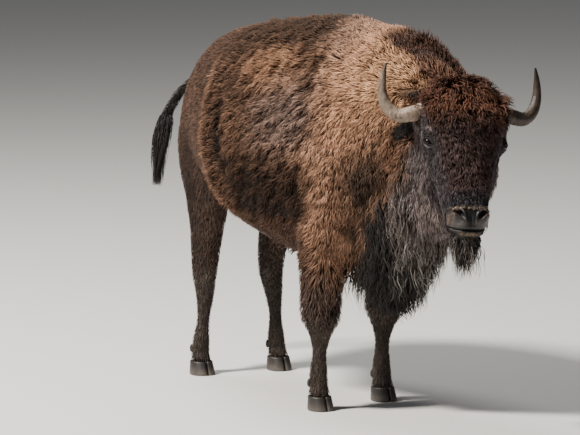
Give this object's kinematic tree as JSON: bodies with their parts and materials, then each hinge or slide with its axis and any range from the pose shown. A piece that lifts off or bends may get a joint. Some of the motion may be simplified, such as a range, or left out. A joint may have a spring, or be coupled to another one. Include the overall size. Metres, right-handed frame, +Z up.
{
  "type": "bison",
  "caption": "Still life-size model of a standing American bison cow with its head turned, shaggy coat, mane, beard and curved horns.",
  "frame": {"origin": "on the floor, at the middle of the box round the whole animal", "axes": "+X towards the front of the animal, +Y to its left, +Z up"},
  "size_m": [2.2718, 0.8646, 1.5646],
  "materials": {
    "coat_rump": "short dense grey-brown hair, lying back and down",
    "coat_barrel": "dense curly brown hair with sun-bleached tips",
    "coat_shoulder": "woolly golden tan hair in clumps",
    "coat_neck": "woolly tan hair, darker along the crest",
    "coat_head": "short dark hair on the face, curly mop on the forehead",
    "nose_leather": "bare, damp, finely creased black skin",
    "chin_hair": "short grey-brown hair round the lower lip",
    "mane_hair": "long hanging grey-brown and black locks",
    "beard_hair": "long dark locks",
    "tail_hair": "black strands",
    "leg_hair": "rusty brown hair, long and shaggy on the forearms",
    "lower_leg_hair": "very short dark hair, dusty",
    "hoof": "dark keratin with fine growth rings, dusty",
    "horn": "grey-black keratin, worn and ridged, darker to the tip",
    "ear_hair": "short dark hair",
    "eye": "wet dark brown eyeball"
  },
  "bodies": {
    "root": {"beard": "beard_hair", "ear_left": "ear_hair", "ear_right": "ear_hair", "eye_left": "eye", "eye_right": "eye", "fore_cannon_left": "lower_leg_hair", "fore_cannon_right": "lower_leg_hair", "fore_claw_left_inner": "hoof", "fore_claw_left_outer": "hoof", "fore_claw_right_inner": "hoof", "fore_claw_right_outer": "hoof", "fore_dewclaw_left_inner": "hoof", "fore_dewclaw_left_outer": "hoof", "fore_dewclaw_right_inner": "hoof", "fore_dewclaw_right_outer": "hoof", "foreleg_left": "leg_hair", "foreleg_right": "leg_hair", "head": "coat_head", "hind_cannon_left": "lower_leg_hair", "hind_cannon_right": "lower_leg_hair", "hind_claw_left_inner": "hoof", "hind_claw_left_outer": "hoof", "hind_claw_right_inner": "hoof", "hind_claw_right_outer": "hoof", "hind_dewclaw_left_inner": "hoof", "hind_dewclaw_left_outer": "hoof", "hind_dewclaw_right_inner": "hoof", "hind_dewclaw_right_outer": "hoof", "hindleg_left": "leg_hair", "hindleg_right": "leg_hair", "horn_left": "horn", "horn_right": "horn", "lower_jaw": "chin_hair", "muzzle": "nose_leather", "neck": "coat_neck", "rump": "coat_rump", "shoulders": "coat_shoulder", "tail": "tail_hair", "tail_tuft": "tail_hair", "throat_mane": "mane_hair", "trunk": "coat_barrel"}
  },
  "joints": []
}
